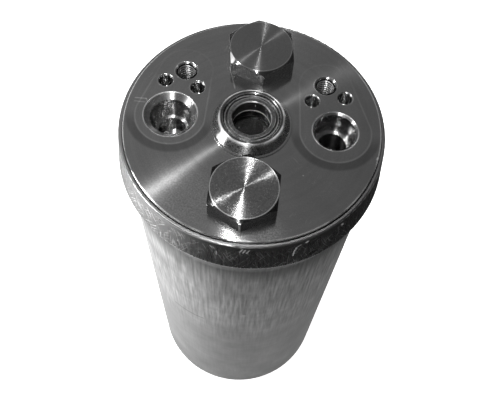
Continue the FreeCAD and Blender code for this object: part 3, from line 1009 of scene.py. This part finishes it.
@dataclass(frozen=True)
class DarkRing:
    """Dark steel ring with a serrated outer edge and light lines on its edges: painted highlights, patchy
    like wear.
    """

    x: float
    y: float
    tone: float = 0.12
    highlight_and_wear_tone: float = 0.7
    roughness: float = 0.34
    highlight_and_wear_roughness: float = 0.5
    highlight_rings: tuple[tuple[float, float], ...] = ((5.75 * MM, 1.0), (6.9 * MM, 0.35), (7.75 * MM, 0.5))
    line: float = 0.22 * MM
    edge: float = 0.1 * MM
    groove_pitch: float = 0.2 * MM
    groove_depth: float = 0.25
    teeth: int = 46
    tooth_span: tuple[float, float] = (7.6 * MM, 7.9 * MM)
    tooth_share: float = 0.5
    tooth_sharpness: float = 3.0
    worn_patch: tuple[float, float, float, float] = (0.3, 0.65, 0.2, 1.0)
    tone_share: float = 0.8
    rough_share: float = 0.4
    speck: Grain = Grain(0.3 * MM, 3.0, 3.0)
    cloud: Grain = Grain(3 * MM, 2.0, 2.5)

    def material(self) -> bpy.types.Material:
        """Builds the finish of the retainer.

        Returns:
            The material.
        """
        surface = Surface(Slot.DARK_RING.value)
        between, times = surface.between, surface.times
        local = surface.vector("SUBTRACT", surface.place, (self.x, self.y, 0.0))
        turning = surface.effect(Effect.TURNING, Place=local, Normal=surface.rounded(self.edge),
                                 Pitch=self.groove_pitch, Depth=self.groove_depth)
        x, y, _ = surface.parts(local)
        radius = surface.vector("LENGTH", surface.joined(x, y, 0.0))
        wave = surface.calc("SINE", times(surface.calc("ARCTAN2", y, x), self.teeth))
        tooth = surface.calc("POWER", surface.calc("MULTIPLY_ADD", wave, 0.5, 0.5), self.tooth_sharpness)
        highlight_and_wear = times(times(tooth, surface.ramp(radius, *self.tooth_span)), self.tooth_share)
        # Painted highlight: light lines on the ring's edges, with the serration's tips, patchy like wear.
        for ring, share in self.highlight_rings:
            highlight_and_wear = surface.highest(highlight_and_wear, times(surface.line(radius, ring, self.line), share))
        highlight_and_wear = times(highlight_and_wear, surface.ramp(surface.grain(self.cloud), *self.worn_patch))
        speck = surface.grain(self.speck)
        return surface.coated(
            Base_Color=between(highlight_and_wear, surface.varied(self.tone, speck, self.tone_share), self.highlight_and_wear_tone),
            Roughness=between(highlight_and_wear, surface.varied(self.roughness, speck, self.rough_share),
                              self.highlight_and_wear_roughness),
            Metallic=1.0, Normal=turning.outputs["Normal"])


@dataclass(frozen=True)
class SightGlass:
    """Clear glass over the dark chamber."""

    tone: float = 0.82
    roughness: float = 0.06
    index: float = 1.5
    tone_share: float = 0.08
    rough_share: float = 0.8
    film: Grain = Grain(2 * MM, 3.0, 1.5)

    def material(self) -> bpy.types.Material:
        """Builds the finish of the glass.

        Returns:
            The material.
        """
        surface = Surface(Slot.GLASS.value)
        film = surface.grain(self.film)
        return surface.coated(Base_Color=surface.varied(self.tone, film, self.tone_share), Metallic=0.0,
                              Roughness=surface.varied(self.roughness, film, self.rough_share),
                              Transmission_Weight=1.0, IOR=self.index)


@dataclass(frozen=True)
class Plain:
    """Finish of a piece inside the can: a colour, a grain and a slight relief."""

    slot: Slot
    colour: tuple[float, float, float]
    metallic: float
    roughness: float
    grain: Grain
    variation: float
    depth: float
    rough_share: float = 0.25
    relief: float = 0.5

    def material(self) -> bpy.types.Material:
        """Builds the finish.

        Returns:
            The material.
        """
        surface = Surface(self.slot.value)
        grain = surface.grain(self.grain)
        return surface.coated(
            Base_Color=surface.scaled(self.colour, surface.varied(1.0, grain, self.variation)),
            Metallic=self.metallic, Roughness=surface.varied(self.roughness, grain, self.rough_share),
            Normal=surface.relief(grain, self.relief, self.depth))


@dataclass(frozen=True)
class Beads:
    """Bed of small round desiccant beads."""

    bead: float = 1.8 * MM
    colour: tuple[float, float, float] = (0.6, 0.52, 0.4)
    roughness: float = 0.75
    gap_shade_span: tuple[float, float] = (0.3, 0.75)
    gap_shade_tone: float = 0.35
    randomness: float = 0.6
    shade_share: float = 0.3
    rough_share: float = 0.2
    relief: float = 0.8
    depth: float = 0.4 * MM

    def material(self) -> bpy.types.Material:
        """Builds the finish of the desiccant bed.

        Returns:
            The material.
        """
        surface = Surface(Slot.DESICCANT.value)
        inputs = {"Vector": surface.place, "Scale": 1 / self.bead, "Randomness": self.randomness}
        cells = surface.node("ShaderNodeTexVoronoi", inputs).outputs
        shade = surface.parts(cells["Color"])[0]
        # Painted shade: each bead darkens towards its edge, in the gaps between beads.
        gap_shade = surface.ramp(cells["Distance"], *self.gap_shade_span, 1.0, self.gap_shade_tone)
        tone = surface.times(surface.varied(1.0, shade, self.shade_share), gap_shade)
        height = surface.times(cells["Distance"], -1.0)
        return surface.coated(Base_Color=surface.scaled(self.colour, tone),
                              Roughness=surface.varied(self.roughness, shade, self.rough_share),
                              Normal=surface.relief(height, self.relief, self.depth))


@dataclass(frozen=True)
class WireCloth:
    """Plain woven wire on an upright sleeve."""

    radius: float
    mesh: float = 0.5 * MM
    tone: float = 0.45
    tone_span: tuple[float, float] = (0.5, 0.95)
    rough_span: tuple[float, float, float, float] = (0.4, 1.0, 0.6, 0.3)
    relief: float = 0.7
    depth: float = 0.15 * MM

    def material(self) -> bpy.types.Material:
        """Builds the finish of the strainer's screen.

        Returns:
            The material.
        """
        surface = Surface(Slot.SCREEN.value)
        round_way, height, _ = surface.parts(surface.wall(self.radius))
        wires = (surface.calc("ABSOLUTE", surface.calc("SINE", surface.times(way, math.pi / self.mesh)))
                 for way in (round_way, height))
        weave = surface.highest(*wires)
        tone = surface.times(surface.ramp(weave, *self.tone_span), self.tone)
        return surface.coated(Base_Color=tone, Metallic=1.0,
                              Roughness=surface.ramp(weave, *self.rough_span),
                              Normal=surface.relief(weave, self.relief, self.depth))


def dress(node: str, material: bpy.types.Material) -> None:
    """Gives a CAD node its finish.

    Args:
        node: The node's name.
        material: The finish.
    """
    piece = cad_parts[node]
    piece.data.materials.clear()
    piece.data.materials.append(material)
    LOG.info("%s dressed in %s", node, material.name)


def add_piece(name: str, mesh: bmesh.types.BMesh, finish: bpy.types.Material) -> bpy.types.Object:
    """Makes an object of a finished bmesh, with its place in its mesh.

    Args:
        name: The piece's name.
        mesh: The bmesh, which is freed.
        finish: Its material.

    Returns:
        The object.
    """
    data = bpy.data.meshes.new(name)
    mesh.to_mesh(data)
    mesh.free()
    data.materials.append(finish)
    piece = bpy.data.objects.new(name, data)
    bpy.context.scene.collection.objects.link(piece)
    LOG.info("%s made with %d faces", name, len(data.polygons))
    return piece


@dataclass
class Canister:
    """The drawn can."""

    head_top: float
    wall_past_plate: float = 2.3 * MM

    def build(self) -> None:
        """Dresses the can."""
        wall_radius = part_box("lower_plate")[1].x + self.wall_past_plate
        dress("canister", DrawnCan(wall_radius, self.head_top).material())


@dataclass
class Head:
    """The machined head with the threads of its two tapped holes and its sight window."""

    top: float
    thread_outer: float = 2.98 * MM
    thread_inner: float = 2.5 * MM
    thread_pitch: float = 1.0 * MM
    thread_start: float = 0.4 * MM
    thread_turns: int = 11
    thread_steps: int = 24
    crest_half: float = 0.06
    root_half: float = 0.5

    def build(self) -> None:
        """Dresses the head and adds its threads."""
        dress("head", MachinedHead(self.top).material())
        for pad, name in ((OUTLET_PAD, "outlet_stud_thread"), (INLET_PAD, "inlet_stud_thread")):
            self.thread(pad.stud, name)
        low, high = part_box("sight_glass_retainer")
        middle = (low + high) / 2
        dress("sight_glass_retainer", DarkRing(middle.x, middle.y).material())
        dress("sight_glass", SightGlass().material())

    def thread(self, hole: Hole, name: str) -> None:
        """Adds the screw thread of one tapped hole as a ridge that winds up its wall.

        Args:
            hole: The tapped hole.
            name: The piece's name.
        """
        finish = CutThread(name, hole, self.thread_inner, self.thread_outer).material()
        mesh = bmesh.new()
        level = self.top - self.thread_start - self.thread_pitch * self.thread_turns
        outline = ((self.thread_outer, self.root_half), (self.thread_inner, self.crest_half),
                   (self.thread_inner, -self.crest_half), (self.thread_outer, -self.root_half))
        corners = [mesh.verts.new((hole.x + radius, hole.y, level + share * self.thread_pitch))
                   for radius, share in outline]
        face = mesh.faces.new(corners)
        bmesh.ops.spin(mesh, geom=[face, *face.verts, *face.edges], cent=hole.centre, axis=Z_AXIS,
                       dvec=(0.0, 0.0, self.thread_pitch / self.thread_steps),
                       angle=2 * math.pi * self.thread_turns, steps=self.thread_steps * self.thread_turns,
                       use_duplicate=False)
        bmesh.ops.recalc_face_normals(mesh, faces=mesh.faces)
        piece = add_piece(name, mesh, finish)
        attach(piece, "root")


@dataclass
class HexPlugs:
    """The two hexagon plugs, each with the values of its own wear and of its painted light."""

    looks: tuple[tuple[str, dict[str, float]], ...] = (
        ("front_hex_plug", {"scuffs": 0.6, "roughness": 0.165, "flat_lit_tone": 0.12, "cone_lit_tone": 0.05,
                            "rim_highlight_share": 0.55, "glint_corner": -90.0, "glint_share": 0.35,
                            "corner_reach": 0.0}),
        ("rear_hex_plug", {"scuffs": 0.15, "roughness": 0.15, "flat_lit_tone": 0.38, "cone_lit_tone": 0.12,
                           "rim_highlight_share": 0.25, "glint_corner": 210.0, "glint_share": 1.0,
                           "corner_reach": 2.2 * MM}),
    )

    def build(self) -> None:
        """Dresses each plug about its own axis."""
        for node, look in self.looks:
            low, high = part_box(node)
            middle = (low + high) / 2
            name = f"{Slot.PLUG.value}_{node}"
            dress(node, PlugSteel(name, middle.x, middle.y, **look).material())


@dataclass
class Inside:
    """The pieces that the can hides, and the seals, with the grain sizes of their materials."""

    fine: float = 0.4 * MM
    brushed: tuple[float, float, float] = (0.3 * MM, 6 * MM, 0.3 * MM)
    wire: tuple[float, float, float] = (0.5 * MM, 0.5 * MM, 0.1 * MM)
    drawn: tuple[float, float, float] = (0.3 * MM, 0.3 * MM, 12 * MM)
    fibre: tuple[float, float, float] = (0.25 * MM, 1.4 * MM, 0.25 * MM)
    layers: float = 3.0

    def finishes(self) -> dict[Slot, bpy.types.Material]:
        """Makes the finishes.

        Returns:
            The material of each slot.
        """
        rows = (
            (Slot.SEAL, (0.02, 0.02, 0.02), 0.0, 0.55, self.fine, 1.5, 0.5, 0.02),
            (Slot.WASHER, (0.8, 0.8, 0.78), 0.0, 0.4, self.fine, 1.0, 0.1, 0.01),
            (Slot.PLATE, (0.5, 0.5, 0.5), 1.0, 0.35, self.brushed, 1.6, 0.25, 0.01),
            (Slot.SPRING, (0.3, 0.3, 0.3), 1.0, 0.35, self.wire, 1.6, 0.4, 0.01),
            (Slot.TUBE, (0.7, 0.7, 0.71), 1.0, 0.3, self.drawn, 1.6, 0.2, 0.01),
            (Slot.FELT, (0.75, 0.72, 0.65), 0.0, 0.95, self.fibre, 2.4, 0.5, 0.3),
            (Slot.STRAINER, (0.85, 0.85, 0.8), 0.0, 0.45, self.fine, 1.2, 0.06, 0.02),
        )
        made = {}
        for slot, colour, metallic, roughness, size, contrast, variation, depth in rows:
            grain = Grain(size, self.layers, contrast)
            finish = Plain(slot, colour, metallic, roughness, grain, variation, depth * MM)
            made[slot] = finish.material()
        made[Slot.DESICCANT] = Beads().material()
        low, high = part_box("strainer_screen")
        made[Slot.SCREEN] = WireCloth((high.x - low.x) / 2).material()
        return made

    def build(self) -> None:
        """Dresses each hidden piece."""
        made = self.finishes()
        wearers = {
            Slot.SEAL: ("head_seal", "front_plug_seal", "rear_plug_seal", "sight_glass_gasket"),
            Slot.WASHER: ("sight_glass_washer",),
            Slot.PLATE: ("lower_plate", "upper_plate", "passage_plug"),
            Slot.SPRING: ("pressure_spring",),
            Slot.TUBE: ("pick_up_tube",),
            Slot.FELT: ("lower_felt", "upper_felt"),
            Slot.DESICCANT: ("desiccant_bed",),
            Slot.STRAINER: ("strainer_frame",),
            Slot.SCREEN: ("strainer_screen",),
        }
        for slot, nodes in wearers.items():
            for node in nodes:
                dress(node, made[slot])


@dataclass
class StripLamp:
    """Long thin lamp that spans the arc between two directions seen from the head's top face."""

    name: str
    first: tuple[float, float, float]
    last: tuple[float, float, float]
    distance: float
    width: float
    power: float

    def build(self, target: Vector) -> None:
        """Adds the lamp, aimed at the target.

        Args:
            target: The point that it faces.
        """
        first, last = Vector(self.first).normalized(), Vector(self.last).normalized()
        away = (first + last).normalized()
        along = (first - last).normalized()
        data = bpy.data.lights.new(self.name, "AREA")
        data.shape = "RECTANGLE"
        data.size = self.width
        data.size_y = 2 * self.distance * math.tan(first.angle(last) / 2)
        data.energy = self.power
        lamp = bpy.data.objects.new(self.name, data)
        axes = Matrix((along.cross(away), along, away)).transposed().to_4x4()
        lamp.matrix_world = Matrix.Translation(target + away * self.distance) @ axes
        bpy.context.scene.collection.objects.link(lamp)
        LOG.info("%s lamp added", self.name)


@dataclass
class Studio:
    """Pale floor with painted light and shade in reflections, dim surroundings and lamps."""

    head_top: float
    floor_half: float = 2.0
    floor_drop: float = 0.2 * MM
    floor_tone: float = 0.8
    floor_roughness: float = 0.9
    floor_specular: float = 0.1
    floor_lift: float = 0.9
    sheet_tone: float = 0.18
    sheet_span: tuple[float, float] = (0.075, 0.13)
    far_shade_tone: float = 0.03
    lit_left_span: tuple[float, float] = (-0.17, -0.10)
    painted_glow_span: tuple[float, float] = (-0.12, 0.01)
    painted_glow_left: float = 1.5
    painted_glow_right: float = 0.22
    distant_span: tuple[float, float] = (0.22, 0.5)
    distant_painted_glow: float = 0.55
    sky_span: tuple[float, float] = (0.1, 0.7)
    sky_low: float = 0.05
    sky_high: float = 0.24
    side_span: tuple[float, float] = (-0.5, 0.5)
    sky_left: float = 1.35
    sky_right: float = 0.5
    front_span: tuple[float, float] = (-0.75, -0.3)
    sky_front: float = 0.04
    lamps: tuple[StripLamp, ...] = (
        StripLamp("overhead", (-0.045, 0.3, 0.95), (-0.075, -0.85, 0.5), 3.0, 0.04, 78.0),
        StripLamp("left", (-0.4, 0.2, 0.894), (-0.55, 0.06, 0.833), 3.0, 0.015, 29.0),
        StripLamp("low left", (-0.55, 0.06, 0.833), (-0.7, -0.08, 0.71), 3.0, 0.015, 24.0),
        StripLamp("window", (-0.97, -0.05, 0.12), (-0.88, -0.46, 0.05), 2.0, 0.3, 12.0),
    )

    def build(self) -> None:
        """Builds floor, surroundings and lamps."""
        self.floor()
        self.surroundings()
        for lamp in self.lamps:
            lamp.build(Vector((0.0, 0.0, self.head_top)))

    def floor(self) -> None:
        """Adds the floor: white to the camera, to everything else a pale sheet round the object, painted
        light and shade.
        """
        mesh = bmesh.new()
        bmesh.ops.create_grid(mesh, x_segments=1, y_segments=1, size=self.floor_half,
                              matrix=Matrix.Translation((0.0, 0.0, -self.floor_drop)))
        surface = Surface("floor")
        ramp, times = surface.ramp, surface.times
        path = surface.node("ShaderNodeLightPath").outputs
        away = surface.above(ORIGIN)
        x = surface.parts(surface.place)[0]
        # Painted light and shade: seen in reflections the floor is pale round the object and to the left,
        # dark beyond, and glows for glossy rays, brighter to the left than to the right and far away.
        sheet = surface.highest(ramp(away, *self.sheet_span, 1.0, self.far_shade_tone),
                                ramp(x, *self.lit_left_span, 1.0, 0.0))
        painted_glow = times(ramp(x, *self.painted_glow_span, self.painted_glow_left, self.painted_glow_right), sheet)
        painted_glow = surface.highest(painted_glow, ramp(away, *self.distant_span, 0.0, self.distant_painted_glow))
        painted_glow = times(painted_glow, path["Is Glossy Ray"])
        tone = surface.between(path["Is Camera Ray"], times(sheet, self.sheet_tone), self.floor_tone)
        material = surface.coated(
            Base_Color=tone, Roughness=self.floor_roughness, Specular_IOR_Level=self.floor_specular,
            Emission_Color=(1.0, 1.0, 1.0, 1.0),
            Emission_Strength=surface.calc("MULTIPLY_ADD", path["Is Camera Ray"], self.floor_lift, painted_glow))
        add_piece("floor", mesh, material)

    def surroundings(self) -> None:
        """Makes the world white to the camera and dim, brighter overhead, to everything else."""
        world = bpy.data.worlds.new("studio")
        bpy.context.scene.world = world
        world.use_nodes = True
        graph = Graph(world.node_tree)
        path = graph.node("ShaderNodeLightPath").outputs
        right, back, up = graph.parts(graph.node("ShaderNodeTexCoord").outputs["Generated"])
        sky = graph.times(graph.ramp(up, *self.sky_span, self.sky_low, self.sky_high),
                          graph.ramp(right, *self.side_span, self.sky_left, self.sky_right))
        sky = graph.between(graph.ramp(back, *self.front_span, 1.0, 0.0), sky, self.sky_front)
        tone = graph.between(path["Is Camera Ray"], sky, 1.0)
        graph.feed(world.node_tree.nodes["Background"].inputs["Color"], tone)


@dataclass
class ViewPoint:
    """The photograph's camera, solved from the head's circles and the can's outline."""

    target: Vector
    distance: float = 191.08 * MM
    climb: float = 56.109
    turn: float = 2.2
    pan: float = 0.268
    tilt: float = -6.74
    roll: float = -4.301
    lens: float = 46.8
    sensor: float = 36.0
    clip: tuple[float, float] = (0.01, 20.0)

    def build(self) -> None:
        """Adds the camera."""
        climb = math.radians(self.climb)
        back = Vector((0.0, -math.cos(climb), math.sin(climb)))
        ahead = -back
        right = Vector((1.0, 0.0, 0.0))
        up = right.cross(ahead)
        pan = Matrix.Rotation(math.radians(-self.pan), 3, up)
        ahead, right = pan @ ahead, pan @ right
        tilt = Matrix.Rotation(math.radians(self.tilt), 3, right)
        ahead, up = tilt @ ahead, tilt @ up
        roll = Matrix.Rotation(math.radians(self.roll), 3, ahead)
        right, up = roll @ right, roll @ up
        spin = Matrix.Rotation(math.radians(self.turn), 3, "Z")
        axes = Matrix((spin @ right, spin @ up, spin @ -ahead)).transposed().to_4x4()
        data = bpy.data.cameras.new("camera")
        data.lens = self.lens
        data.sensor_width = self.sensor
        data.clip_start, data.clip_end = self.clip
        camera = bpy.data.objects.new("camera", data)
        camera.matrix_world = Matrix.Translation(self.target + spin @ back * self.distance) @ axes
        bpy.context.scene.collection.objects.link(camera)
        bpy.context.scene.camera = camera
        LOG.info("camera placed")


def main() -> None:
    """Dresses the filter drier and sets the studio round it."""
    logging.basicConfig(level=logging.INFO, format="%(name)s: %(message)s")
    bpy.context.scene.view_settings.view_transform = "Standard"
    Effects().build()
    head_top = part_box("front_plug_seal")[1].z
    Canister(head_top).build()
    Head(head_top).build()
    HexPlugs().build()
    Inside().build()
    Studio(head_top).build()
    ViewPoint(Vector((0.0, 0.0, head_top))).build()


if __name__ == "__main__":
    main()
